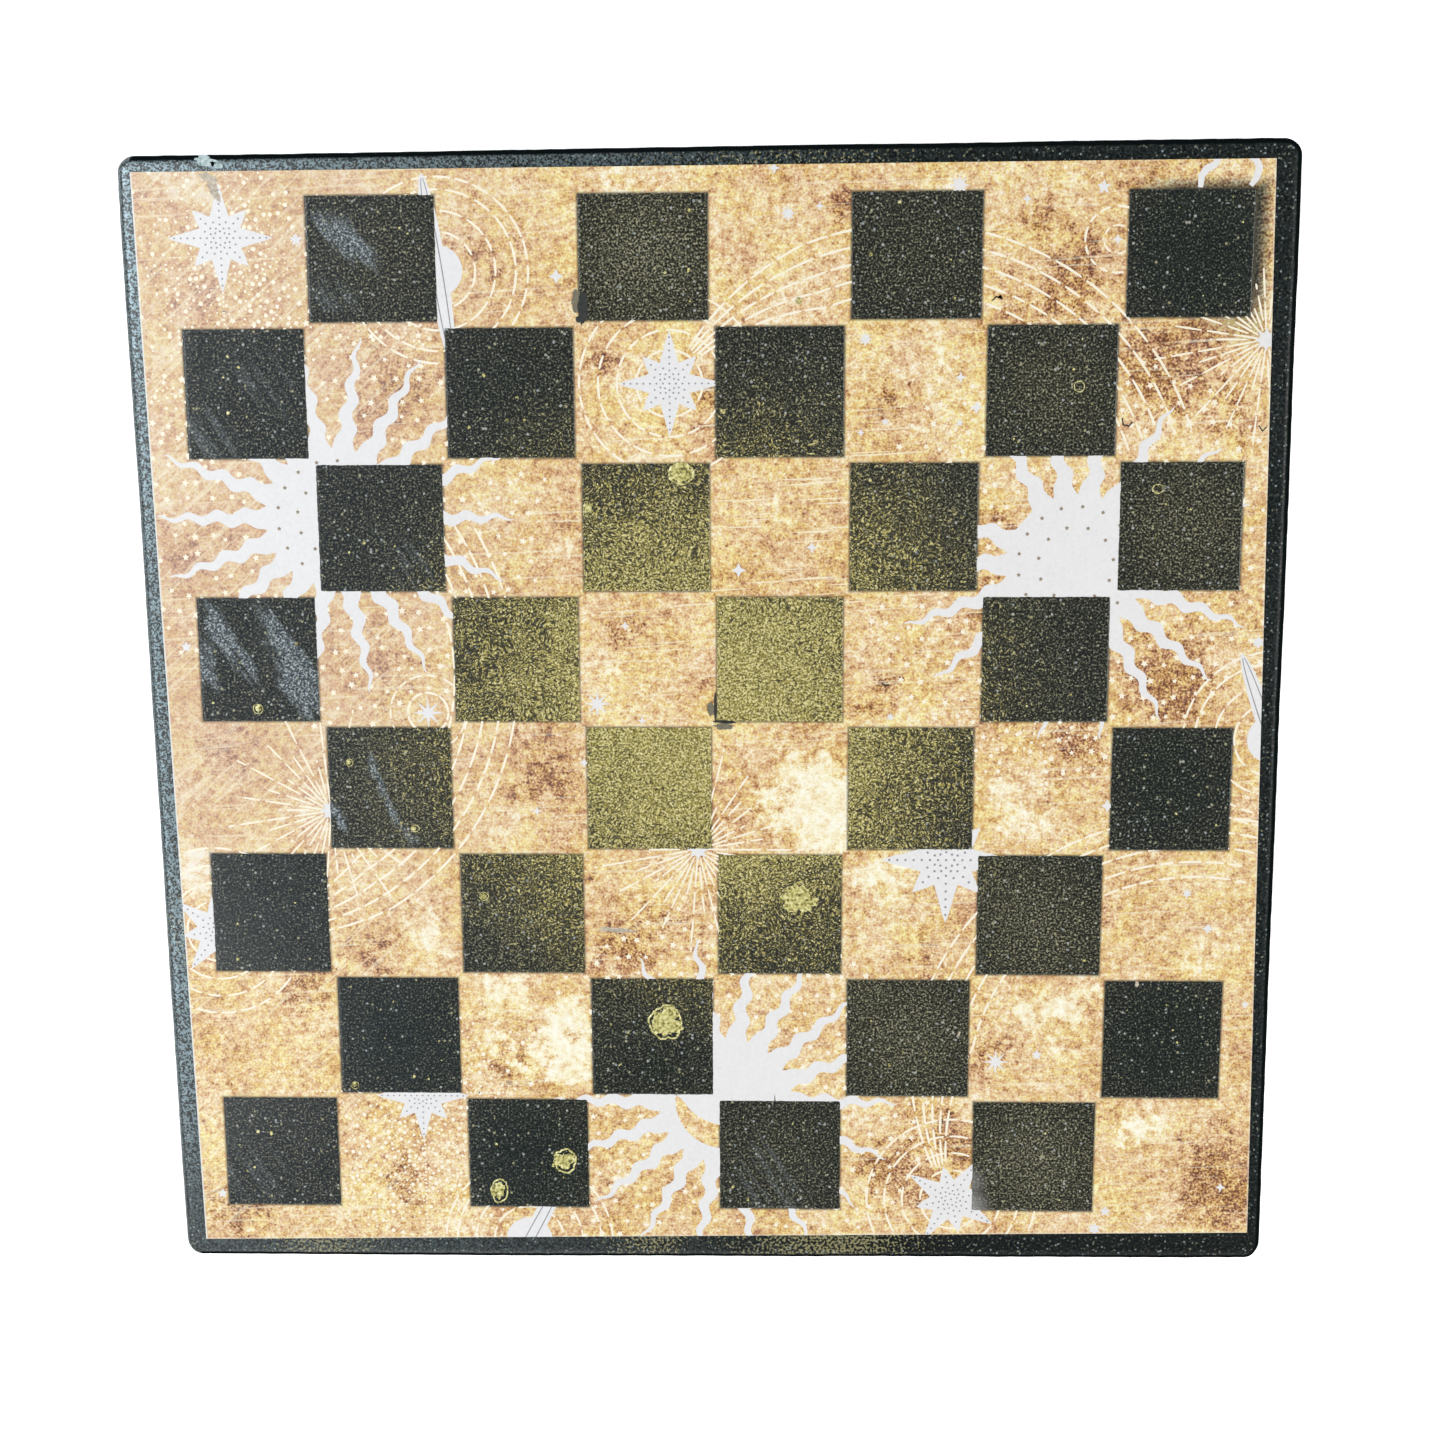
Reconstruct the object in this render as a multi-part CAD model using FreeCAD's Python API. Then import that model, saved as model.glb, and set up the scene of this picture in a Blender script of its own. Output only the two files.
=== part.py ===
"""A hand-made checkers board, in millimetres, playing face up (+Z), standing on the plane z = 0.

A rigid panel with rounded corners and eased edges carries one sheet of printed card, laid a little
crooked. Dark squares of thick glitter paint are stencilled on the card, and a few drops of gold paint
have dried on them. X runs along the ranks from file a to file h, Y from rank 1 to rank 8.
"""
import FreeCAD, Part
import os

from FreeCAD import Placement, Rotation, Vector

OUT = "parts"

# Driving dimensions
BOARD_SIDE = 317.0          # side of the square panel
BOARD_THICK = 12.0          # sheet thickness of the panel
CORNER_RADIUS = 5.0         # corners of the panel, seen from above
TOP_EDGE_RADIUS = 2.5       # rounding of the edge round the playing face
BOTTOM_EDGE_RADIUS = 1.5    # rounding of the edge round the underside

CARD_THICK = 0.35           # card with its glue
PAINT_THICK = 0.15          # stencilled paint standing on the card

SQUARES = 8                 # squares along one side of the playing field
PITCH = 36.7                # from one square's centre to the next
SQUARE_SIDE = 0.95 * PITCH  # a stencilled square, which leaves a thin bridge at each corner
OUTER_TRIM = 0.045 * PITCH  # what the stencil's rim takes off the outermost squares
FIELD_TURN = -0.38          # degrees that the stencil was turned on the panel
FIELD_CENTRE = (0.9, 2.0)   # where the middle of the field lies on the panel

# Bare border between the panel's side and the card, at each corner: (beside the file, beside the rank)
BORDERS = {
    (-1, 1): (4.3, 4.7),
    (1, 1): (7.4, 5.6),
    (1, -1): (4.2, 9.0),
    (-1, -1): (6.6, 6.1),
}

# Gold drops: square, offset from the square's centre as a share of the pitch, and radius
DROPS = (
    ("d2", (0.11, 0.12), 4.9),
    ("c1", (0.29, -0.03), 3.6),
    ("c1", (-0.24, -0.29), 3.0),
    ("e3", (0.14, 0.15), 4.4),
    ("d6", (0.26, 0.38), 3.1),
    ("d6", (-0.43, 0.15), 1.4),
    ("a5", (0.00, -0.38), 1.4),
    ("b2", (-0.37, -0.41), 1.1),
    ("c3", (-0.30, 0.14), 1.5),
    ("b4", (-0.31, 0.20), 1.1),
)
DROP_HEIGHT = 0.25          # at the middle of a dried drop
DROP_CROWN = 0.85           # width of a drop's flat top, as a share of its foot

CARD_TOP = BOARD_THICK + CARD_THICK
PAINT_TOP = CARD_TOP + PAINT_THICK
FILES = "abcdefgh"
UP = Vector(0, 0, 1)


def panel():
    """The rigid panel: a square with round corners and eased edges."""
    half = BOARD_SIDE / 2
    block = Part.makeBox(BOARD_SIDE, BOARD_SIDE, BOARD_THICK, Vector(-half, -half, 0))
    upright = [e for e in block.Edges if abs(e.tangentAt(e.FirstParameter).z) > 0.5]
    block = block.makeFillet(CORNER_RADIUS, upright)
    top = [e for e in block.Edges if abs(e.BoundBox.Center.z - BOARD_THICK) < 0.01]
    block = block.makeFillet(TOP_EDGE_RADIUS, top)
    bottom = [e for e in block.Edges if abs(e.BoundBox.Center.z) < 0.01]
    return block.makeFillet(BOTTOM_EDGE_RADIUS, bottom)


def card():
    """The printed card: four straight cuts, not quite square, so each corner has its own borders."""
    half = BOARD_SIDE / 2
    corners = [
        Vector(sx * (half - bx), sy * (half - by), BOARD_THICK) for (sx, sy), (bx, by) in BORDERS.items()
    ]
    outline = Part.makePolygon(corners + corners[:1])
    return Part.Face(outline).extrude(CARD_THICK * UP)


def on_field(shape):
    """Carries a shape from the playing field's own axes to its place on the panel."""
    place = Placement(Vector(*FIELD_CENTRE, 0), Rotation(UP, FIELD_TURN))
    shape.Placement = place.multiply(shape.Placement)
    return shape


def centre_of(square):
    """A square's centre on the field's own axes, from its name, such as d2."""
    middle = (SQUARES - 1) / 2
    return (FILES.index(square[0]) - middle) * PITCH, (int(square[1]) - 1 - middle) * PITCH


def dark_squares():
    """The names of the painted squares: a1 is dark, and the colours alternate."""
    return [
        f"{FILES[i]}{j + 1}" for j in range(SQUARES) for i in range(SQUARES) if (i + j) % 2 == 0
    ]


def paint_patch(square):
    """One stencilled square of paint. The stencil's rim trims the outer side of those on its border."""
    x, y = centre_of(square)
    half = SQUARE_SIDE / 2
    low = [x - half, y - half]
    high = [x + half, y + half]
    if square[0] == FILES[0]:
        low[0] += OUTER_TRIM
    if square[0] == FILES[-1]:
        high[0] -= OUTER_TRIM
    if square[1] == "1":
        low[1] += OUTER_TRIM
    if square[1] == str(SQUARES):
        high[1] -= OUTER_TRIM
    patch = Part.makeBox(high[0] - low[0], high[1] - low[1], PAINT_THICK, Vector(*low, CARD_TOP))
    return on_field(patch)


def drop(square, offset, radius):
    """One dried drop: a low disc with a sloping rim, standing on the paint."""
    x, y = centre_of(square)
    foot = Vector(x + offset[0] * PITCH, y + offset[1] * PITCH, PAINT_TOP)
    return on_field(Part.makeCone(radius, DROP_CROWN * radius, DROP_HEIGHT, foot, UP))


def main():
    os.makedirs(OUT, exist_ok=True)
    nodes = {"board_panel": panel(), "printed_card": card()}
    for square in dark_squares():
        nodes[f"dark_square_{square}"] = paint_patch(square)
    nodes["gold_paint_drops"] = Part.makeCompound([drop(*d) for d in DROPS])
    for name, shape in nodes.items():
        shape.exportStep(os.path.join(OUT, f"{name}.step"))
        print(name, "valid" if shape.isValid() else "NOT VALID", round(shape.Volume, 2), "mm3")


main()
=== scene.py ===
"""Looks of the hand-made checkers board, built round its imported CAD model. Lengths are in metres.

What is printed, painted or splashed on the playing face is placed on the field's own axes: x counts
files and y counts ranks, both from 0 to 8, so the middle of square a1 is (0.5, 0.5) and one unit is
the pitch of the squares.
"""

import math
import random

import bmesh
import bpy
from mathutils import Matrix, Vector, noise


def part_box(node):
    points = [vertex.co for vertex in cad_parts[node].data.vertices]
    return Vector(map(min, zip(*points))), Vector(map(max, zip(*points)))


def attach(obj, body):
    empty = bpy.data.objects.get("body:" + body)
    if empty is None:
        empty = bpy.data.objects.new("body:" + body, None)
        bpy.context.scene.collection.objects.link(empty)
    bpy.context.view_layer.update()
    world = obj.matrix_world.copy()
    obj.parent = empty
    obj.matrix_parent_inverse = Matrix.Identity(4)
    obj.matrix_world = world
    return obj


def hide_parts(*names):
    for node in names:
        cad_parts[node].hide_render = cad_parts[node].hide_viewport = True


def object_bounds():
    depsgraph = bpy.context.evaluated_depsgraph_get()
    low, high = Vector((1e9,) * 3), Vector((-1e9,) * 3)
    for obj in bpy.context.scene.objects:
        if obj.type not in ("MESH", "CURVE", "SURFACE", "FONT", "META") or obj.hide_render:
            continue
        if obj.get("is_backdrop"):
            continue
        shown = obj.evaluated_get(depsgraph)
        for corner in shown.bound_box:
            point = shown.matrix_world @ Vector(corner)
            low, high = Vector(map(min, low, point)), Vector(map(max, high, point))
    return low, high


MM = 0.001
SQUARES = 8
FILES = "abcdefgh"

bpy.ops.wm.read_factory_settings(use_empty=True)
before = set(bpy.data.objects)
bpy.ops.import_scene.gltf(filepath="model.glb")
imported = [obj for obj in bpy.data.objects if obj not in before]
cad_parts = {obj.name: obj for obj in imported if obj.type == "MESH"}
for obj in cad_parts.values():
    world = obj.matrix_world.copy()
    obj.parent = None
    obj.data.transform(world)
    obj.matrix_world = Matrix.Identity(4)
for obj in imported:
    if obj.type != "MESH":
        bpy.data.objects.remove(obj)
CAD_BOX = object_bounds()


# ---------------------------------------------------------------- places, from the frame

def top_corners(node):
    """The corners of a flat four-sided node's upper face, anticlockwise from the lower left."""
    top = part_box(node)[1].z
    points = {tuple(round(c, 7) for c in v.co.xy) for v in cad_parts[node].data.vertices
              if abs(v.co.z - top) < 0.01 * MM}
    centre = sum((Vector(p) for p in points), Vector((0, 0))) / len(points)
    return sorted((Vector(p) for p in points), key=lambda p: math.atan2(p.y - centre.y, p.x - centre.x))


def middle(node):
    low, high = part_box(node)
    return ((low + high) / 2).xy


def dark_squares():
    """Names of the painted squares, such as a1, in the order of the ranks."""
    return [f"{FILES[i]}{j + 1}" for j in range(SQUARES) for i in range(SQUARES) if (i + j) % 2 == 0]


# Two squares that the stencil's rim didn't trim give the field's axes: five files and ranks apart.
ACROSS = middle("dark_square_g7") - middle("dark_square_b2")
PITCH = ACROSS.length / (5 * math.sqrt(2))
TURN = math.atan2(ACROSS.y, ACROSS.x) - math.pi / 4
CENTRE = (middle("dark_square_g7") + middle("dark_square_b2")) / 2

PANEL_LOW, PANEL_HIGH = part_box("board_panel")
PANEL_TOP = PANEL_HIGH.z
CARD_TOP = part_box("printed_card")[1].z
PAINT_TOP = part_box("dark_square_d4")[1].z
DROP_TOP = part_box("gold_paint_drops")[1].z
CARD_CORNERS = top_corners("printed_card")


def place(x, y):
    """A point of the playing field as metres on the board."""
    return CENTRE + PITCH * (Matrix.Rotation(TURN, 2) @ Vector((x - SQUARES / 2, y - SQUARES / 2)))


def places(outline):
    """The points of an outline on the field, as metres on the board."""
    return [place(x, y) for x, y in outline]


def around(items):
    """Each item with the next one, and the last with the first."""
    return zip(items, items[1:] + items[:1])


# ---------------------------------------------------------------- materials

LIGHT_LEVEL = 1.60          # how much brighter than the display's white the lamps make a white sheet


def rgb(red, green, blue):
    """The linear colour that comes out under the lamps at these sRGB display values, from 0 to 255."""
    def linear(value):
        value /= 255
        return value / 12.92 if value <= 0.04045 else ((value + 0.055) / 1.055) ** 2.4
    return linear(red) / LIGHT_LEVEL, linear(green) / LIGHT_LEVEL, linear(blue) / LIGHT_LEVEL, 1.0


class Value:
    """An output of a shader node. Arithmetic on it, and the calls below, add further nodes."""

    def __init__(self, shader, socket):
        self.shader = shader
        self.socket = socket

    def __add__(self, other):
        return self.maths("ADD", other)

    def __sub__(self, other):
        return self.maths("SUBTRACT", other)

    def __rsub__(self, other):
        return self.maths("MULTIPLY_ADD", -1.0, other)

    def __mul__(self, other):
        return self.maths("MULTIPLY", other)

    def maths(self, operation, *others):
        return self.shader.add("Math", enumerate((self, *others)), operation=operation)

    def vector_maths(self, operation, *others, output="Vector"):
        return self.shader.add("VectorMath", enumerate((self, *others)), output, operation=operation)

    def split(self):
        return self.shader.outputs("SeparateXYZ", ((0, self),))

    def flat(self):
        """The same place with no height."""
        return self.vector_maths("MULTIPLY", (1, 1, 0))

    def ease(self, low, high, to_low=0.0, to_high=1.0, curve="SMOOTHSTEP"):
        """Carries a value from one range to another, and stops at its ends."""
        inputs = enumerate((self, low, high, to_low, to_high))
        return self.shader.add("MapRange", inputs, interpolation_type=curve)

    def noise(self, scale, detail=2.0, roughness=0.5, output="Fac"):
        inputs = (("Vector", self), ("Scale", scale), ("Detail", detail), ("Roughness", roughness))
        return self.shader.add("TexNoise", inputs, output)

    def streaks(self, angle, along, across, detail=2.0):
        """Noise drawn out along one direction: angle in degrees, with so many features per unit."""
        inputs = (("Vector", self), ("Rotation", (0, 0, math.radians(-angle))))
        turned = self.shader.add("Mapping", inputs)
        stretched = self.shader.add("Mapping", (("Vector", turned), ("Scale", (along, across, 1))))
        return stretched.noise(1.0, detail)

    def warp(self, scale, amount):
        """A place pushed about by noise, so that round spots come out ragged."""
        push = self.noise(scale, output="Color").vector_maths("SUBTRACT", (0.5, 0.5, 0.5))
        return push.vector_maths("MULTIPLY_ADD", (amount, amount, amount), self)

    def spots(self, table):
        """1 at the middle of any of the soft round spots (x, y, radius, strength), and 0 away from them."""
        found = []
        flat = self.flat()
        for x, y, radius, strength in table:
            away = flat.vector_maths("DISTANCE", (x, y, 0), output="Value")
            found.append(away.ease(radius, 0.0, 0.0, strength))
        return greatest(found)

    def smears(self, table):
        """Like spots, but drawn out: (x, y, half length, half width, direction in degrees, strength)."""
        found = []
        flat = self.flat()
        for x, y, along, across, degrees, strength in table:
            inputs = (("Vector", flat), ("Location", (x, y, 0)),
                      ("Rotation", (0, 0, math.radians(degrees))), ("Scale", (along, across, 1)))
            own = self.shader.add("Mapping", inputs, vector_type="TEXTURE")
            found.append(own.vector_maths("LENGTH", output="Value").ease(1.0, 0.2, 0.0, strength))
        return greatest(found)

    def ramp(self, *stops):
        """The colour between the stops (position, colour) for this value from 0 to 1."""
        node = self.shader.node("ValToRGB", ((0, self),))
        elements = node.color_ramp.elements
        while len(elements) < len(stops):
            elements.new(0.5)
        for element, (position, colour) in zip(elements, stops):
            element.position = position
            element.color = colour
        return Value(self.shader, node.outputs[0])

    def mix(self, factor, other, how="MIX"):
        """This colour, carried towards another one by a factor from 0 to 1."""
        inputs = ((0, factor), (6, self), (7, other))
        return self.shader.add("Mix", inputs, 2, data_type="RGBA", blend_type=how)

    def bump(self, depth, strength, normal=None):
        """The surface's direction once this height is on it, over another bump's direction if it is given."""
        inputs = [("Height", self), ("Distance", depth), ("Strength", strength)]
        if normal is not None:
            inputs.append(("Normal", normal))
        return self.shader.add("Bump", inputs)


def greatest(values):
    total = values[0]
    for value in values[1:]:
        total = total.maths("MAXIMUM", value)
    return total


class Shader:
    """A material made of nodes."""

    def __init__(self, name):
        self.material = bpy.data.materials.new(name)
        self.material.use_nodes = True
        self.here = self.add("TexCoord", (), "Object")

    def set(self, socket, value):
        """Links a socket to a node's output, or gives it a plain value."""
        if isinstance(value, Value):
            self.material.node_tree.links.new(value.socket, socket)
        else:
            socket.default_value = value

    def node(self, kind, inputs, **settings):
        node = self.material.node_tree.nodes.new("ShaderNode" + kind)
        for name, value in settings.items():
            setattr(node, name, value)
        for socket, value in inputs:
            self.set(node.inputs[socket], value)
        return node

    def add(self, kind, inputs, output=0, **settings):
        """Adds a node and gives back one of its outputs."""
        return Value(self, self.node(kind, inputs, **settings).outputs[output])

    def outputs(self, kind, inputs):
        """Adds a node and gives back all its outputs."""
        return [Value(self, output) for output in self.node(kind, inputs).outputs]

    def field(self):
        """The place on the playing field's own axes, in squares."""
        turned = Matrix.Rotation(-TURN, 2) @ CENTRE / PITCH
        origin = (SQUARES / 2 - turned.x, SQUARES / 2 - turned.y, 0)
        scale = (1 / PITCH, 1 / PITCH, 1 / PITCH)
        inputs = (("Vector", self.here), ("Location", origin), ("Rotation", (0, 0, -TURN)), ("Scale", scale))
        return self.add("Mapping", inputs)

    def facing_axes(self):
        """Which way the surface faces, as rightward, backward and upward parts."""
        return self.add("NewGeometry", (), "Normal").split()

    def finish(self, **surface):
        """Gives the surface its looks and hands over the material."""
        principled = self.material.node_tree.nodes["Principled BSDF"]
        for name, value in surface.items():
            self.set(principled.inputs[name.replace("_", " ")], value)
        return self.material


# Soft spots of the print, as (x, y, radius, strength)
PALE_SPOTS = (
    (4.8, 3.35, 0.8, 1.4), (5.3, 2.85, 0.6, 1.0), (2.85, 1.45, 0.7, 1.2), (2.3, 1.9, 0.5, 0.8),
    (6.7, 1.7, 0.6, 0.9), (6.35, 3.3, 0.55, 0.8), (1.75, 2.35, 0.6, 0.7), (0.0, 2.85, 0.45, 0.8),
    (7.35, 0.75, 0.6, 0.8), (0.1, 7.95, 0.6, 0.7), (5.6, 6.55, 0.7, 0.6), (2.95, 5.35, 0.4, 0.7),
    (3.25, 0.35, 0.35, 0.7), (5.5, 7.95, 0.5, 0.5), (4.5, 5.7, 0.6, 0.5), (7.7, 2.2, 0.6, 0.6),
    (2.4, 1.4, 0.5, 0.8), (2.4, 3.2, 0.4, 0.6), (3.2, 4.45, 0.3, 0.5), (0.9, 3.35, 0.5, 0.6),
    (2.1, 4.85, 0.5, 0.2), (6.2, 2.95, 0.4, 0.5), (3.3, 8.05, 0.5, 0.6), (1.6, 1.9, 0.35, 0.5),
    (7.9, 1.2, 0.5, 0.5),
)
BROWN_SPOTS = (
    (8.0, 0.3, 0.65, 1.3), (6.6, 7.25, 0.8, 0.8), (7.35, 6.7, 0.7, 1.1), (7.85, 6.3, 0.55, 0.6),
    (7.45, 4.35, 0.6, 1.1), (6.8, 3.8, 0.45, 0.9), (5.85, 0.7, 0.4, 1.2), (5.45, 0.4, 0.6, 1.0),
    (2.75, 3.65, 0.55, 0.9), (3.4, 2.3, 0.6, 0.85), (1.6, 6.5, 0.6, 0.7), (0.25, 7.2, 0.7, 0.6),
    (0.25, 3.75, 0.5, 0.8), (0.8, 1.95, 0.45, 0.9), (1.3, 2.2, 0.35, 0.8), (0.05, 5.3, 0.5, 0.5),
    (3.9, 4.25, 0.3, 0.4), (5.0, 7.8, 0.35, 0.9), (3.15, 6.75, 0.3, 0.8), (3.95, 6.45, 0.35, 0.8),
    (5.25, 6.5, 0.3, 0.7), (6.1, 5.55, 0.3, 0.8), (6.05, 4.9, 0.4, 0.5), (7.15, 5.6, 0.3, 0.4),
    (1.5, 4.5, 0.6, 0.6), (5.3, 4.3, 0.35, 0.7), (2.2, 7.55, 0.7, 0.5), (7.6, 7.6, 0.9, 0.7),
    (6.2, 1.4, 0.45, 0.5), (1.5, 0.25, 0.5, 0.7), (3.3, 4.7, 0.35, 0.5), (2.3, 1.2, 0.35, 0.6),
    (0.15, 0.0, 0.5, 0.9), (5.6, 2.2, 0.4, 0.5), (6.4, 7.75, 0.4, 0.5), (6.95, 2.45, 0.25, 0.5),
)


HALF_SQUARE = 0.475         # half the side of a dark square, where the squares' pitch is 1
HALO = 0.022                # width of the overspray round a square
# How clearly the card's white core shows along its bottom, right, top and left side
CORE_SHOWS = (0.35, 0.35, 0.0, 1.0)


def overspray(field):
    """1 where paint crept under the stencil, in a thin halo round each dark square."""
    x, y, _ = field.split()
    first, last = 0.001, SQUARES - 0.001
    column, row = [v.maths("MAXIMUM", first).maths("MINIMUM", last).maths("FLOOR") for v in (x, y)]
    from_middle = greatest([(x - (column + 0.5)).maths("ABSOLUTE"), (y - (row + 0.5)).maths("ABSOLUTE")])
    from_centre = greatest([(v - SQUARES / 2).maths("ABSOLUTE") for v in (x, y)])
    light = (column + row).maths("MODULO", 2.0)
    from_dark = greatest([from_middle - HALF_SQUARE, from_centre - 3.93])
    from_light = greatest([1 - HALF_SQUARE - from_middle, from_centre.ease(3.85, 3.95, 0.0, 0.2)])
    away = light * from_light + (1.0 - light) * from_dark
    return away.ease(HALO, 0.0)


def cut_edge(here):
    """1 along the card's sides, where the white core of the cut card shows."""
    sides = []
    for (a, b), strength in zip(around(CARD_CORNERS), CORE_SHOWS):
        inward = Vector((a.y - b.y, b.x - a.x, 0)).normalized()
        offset = here.vector_maths("SUBTRACT", (a.x, a.y, 0))
        away = offset.vector_maths("DOT_PRODUCT", tuple(inward), output="Value")
        sides.append(away.ease(0.55 * MM, 0.25 * MM, 0.0, strength))
    return greatest(sides)


def card_print(field):
    """The mottled ochre ground of the print, and its speckle. It is pale or brown in places."""
    ragged = field.warp(2.2, 0.5).warp(9.0, 0.12)
    cloud = field.noise(1.7, 6.0, 0.62)
    blotch = field.noise(7.0, 7.0, 0.72)
    fleck = field.noise(17.0, 5.0, 0.75)
    speckle = field.noise(54.0, 1.5, 0.6)
    bare = ((1.0 - blotch) * 2.8 + ragged.spots(PALE_SPOTS) * 0.80).ease(1.74, 2.24)
    stain = (blotch * 2.8 + ragged.spots(BROWN_SPOTS) * 0.75).ease(1.58, 2.14)
    tone = (cloud - 0.5) * 0.55 + 0.545 + (fleck - 0.5) * 1.45 + bare * 0.32 - stain * 0.25
    tone = tone + (speckle - 0.5) * (0.90 - bare * 0.40 + stain * 0.60)
    colour = tone.ramp(
        (0.04, rgb(106, 67, 56)), (0.26, rgb(178, 129, 96)), (0.44, rgb(220, 180, 135)),
        (0.60, rgb(236, 211, 166)), (0.76, rgb(248, 238, 206)), (0.96, rgb(254, 252, 238)),
    )
    warmth = field.noise(30.0, 1.5, 0.6) * 0.8 + field.warp(2.0, 0.4).noise(2.6, 6.0, 0.7)
    hue = warmth.ramp(
        (0.74, (1.0, 0.97, 1.0, 1)), (0.90, (1.0, 0.985, 0.89, 1)), (1.0, (1.0, 0.985, 0.68, 1)),
    )
    return colour.mix(1.0 - bare * 0.75, hue, "MULTIPLY"), speckle


def scratched(colour, field):
    """The print's fine printed scratches, and the brown hatching at its lower left corner."""
    x, y, _ = field.split()
    pinkness = x.ease(3.6, 0.4) * y.ease(1.2, 4.2)
    colour = colour.mix(pinkness * 0.40, rgb(206, 174, 162))
    slanted = field.streaks(42.0, 1.6, 34.0).ease(0.55, 0.68) * x.ease(2.8, 1.0)
    lines = greatest([field.streaks(3.0, 1.3, 42.0).ease(0.60, 0.70), slanted])
    ruled = field.spots(((4.6, 5.5, 2.2, 0.5),)) + 0.42
    colour = colour.mix(lines * ruled, rgb(250, 242, 214))
    corner = field.spots(((0.05, 0.0, 0.9, 1.0), (-0.1, 0.8, 0.7, 1.0)))
    hatch = field.streaks(28.0, 1.5, 12.0).ease(0.44, 0.36) * corner
    return colour.mix(hatch * 0.45, rgb(150, 96, 62))


def sooty(colour, field, speckle):
    """The black paint that drifted past square h8, and the halo round every dark square."""
    x, y, _ = field.split()
    past = greatest([x - 8.01, y - 7.97]) + speckle * 0.08 - 0.04
    mist = field.spots(((8.02, 7.60, 0.85, 1.6), (7.60, 8.0, 0.6, 1.5))).maths("MINIMUM", 1.0)
    faded = (mist * past.ease(0.06, -0.07)).maths("POWER", 0.6)
    soot = speckle.ramp((0.40, rgb(24, 27, 26)), (0.70, rgb(86, 88, 76)))
    colour = colour.mix(faded, soot)
    halo = overspray(field) * speckle.ease(0.30, 0.55, 0.55, 1.0)
    return colour.mix(halo * 0.85, rgb(84, 74, 54))


def varnish(field):
    """Brushed satin varnish on the card and its print."""
    return {
        "Normal": field.streaks(82.0, 3.0, 26.0).bump(0.05 * MM, 0.25),
        "Roughness": field.noise(5.0, 4.0).ease(0.3, 0.7, 0.24, 0.42),
        "Specular_IOR_Level": 0.3,
    }


def card_material():
    """The printed card, with the varnish on it and its pale cut edges."""
    shader = Shader("printed_card_ink")
    field = shader.field()
    colour, speckle = card_print(field)
    colour = scratched(colour, field)
    colour = colour.mix(cut_edge(shader.here), rgb(232, 230, 224))
    colour = sooty(colour, field, speckle)
    side = shader.facing_axes()[2].ease(0.7, 0.4)
    colour = colour.mix(side, rgb(236, 228, 212))
    return shader.finish(Base_Color=colour, **varnish(field))


def ink_material(name, colour, shade):
    """A flat printed ink with a little mottle under the same varnish as the card's."""
    shader = Shader(name)
    field = shader.field()
    mottle = field.noise(30.0, 4.0, 0.7).ease(0.35, 0.75)
    return shader.finish(Base_Color=mottle.ramp((0, colour), (1, shade)), **varnish(field))


def flakes(field, per_square, share):
    """A mask of glitter flakes, so many cells to a square and a share of them lit, and a random value."""
    inputs = (("Vector", field), ("Scale", per_square))
    distance, random_colour = field.shader.outputs("TexVoronoi", inputs)[:2]
    chance, tint, _ = field.shader.outputs("SeparateColor", ((0, random_colour),))
    return chance.maths("LESS_THAN", share) * distance.ease(0.62, 0.38), tint


MIST_MIDDLE = (3.92, 4.08)  # of the gold mist that settled on the squares
MIST_CORE = 0.45            # how far from its middle the mist is at its thickest
MIST_REACH = 3.3            # how far from its middle the mist still shows

# Streaks of painted reflection in the brushed varnish, as (x, y, half length, half width, direction in
# degrees, strength)
REFLECTION_STREAKS = (
    (0.24, 4.7, 0.42, 0.14, -64, 1.2), (0.12, 4.46, 0.34, 0.14, -80, 1.0), (0.4, 4.5, 0.36, 0.08, -66, 1.0),
    (0.68, 4.7, 0.42, 0.17, -68, 1.1), (0.84, 4.34, 0.46, 0.25, -75, 1.3), (1.34, 7.6, 0.46, 0.19, -42, 1.0),
    (1.15, 7.7, 0.22, 0.14, -50, 0.8), (1.22, 7.22, 0.28, 0.2, -30, 0.5), (1.4, 3.57, 0.32, 0.06, -70, 1.1),
    (1.08, 3.28, 0.22, 0.06, -65, 1.0), (1.5, 3.3, 0.26, 0.07, -70, 0.9), (1.62, 3.12, 0.14, 0.07, -60, 0.9),
    (0.2, 6.25, 0.5, 0.3, -50, 0.45), (0.25, 0.4, 0.6, 0.45, -50, 0.3), (4.45, 0.3, 0.6, 0.45, -70, 0.35),
    (0.6, 2.6, 0.7, 0.45, -60, 0.15), (1.75, 5.15, 0.45, 0.25, -50, 0.45), (0.7, 6.6, 0.5, 0.3, -50, 0.3),
    (2.6, 7.4, 0.6, 0.45, -60, 0.3),
)
# Places on the squares that come out darker and cooler, as (x, y, radius, strength)
DARKER_PATCHES = (
    (7.55, 7.5, 0.9, 1.0), (7.5, 1.5, 0.9, 1.0), (7.5, 3.5, 0.9, 0.7), (1.5, 1.5, 0.9, 0.8),
    (2.5, 0.5, 0.8, 1.0), (0.5, 2.5, 0.8, 0.4), (2.5, 6.5, 0.8, 0.4), (3.5, 1.3, 0.7, 0.6),
)
# Places that come out lighter and warmer
LIGHTER_PATCHES = (
    (6.5, 2.4, 0.9, 1.2), (5.5, 1.5, 0.9, 1.3), (6.5, 0.5, 0.9, 1.5), (6.5, 6.5, 0.8, 0.9),
    (3.5, 7.5, 0.9, 1.7), (7.5, 5.5, 0.8, 1.1), (5.5, 7.5, 0.9, 0.5), (5.5, 5.5, 0.8, 0.6),
    (1.5, 3.5, 0.9, 1.0), (1.5, 7.5, 0.9, 0.6), (4.5, 0.5, 0.8, 0.5), (2.5, 2.5, 0.8, 0.8),
)


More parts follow.
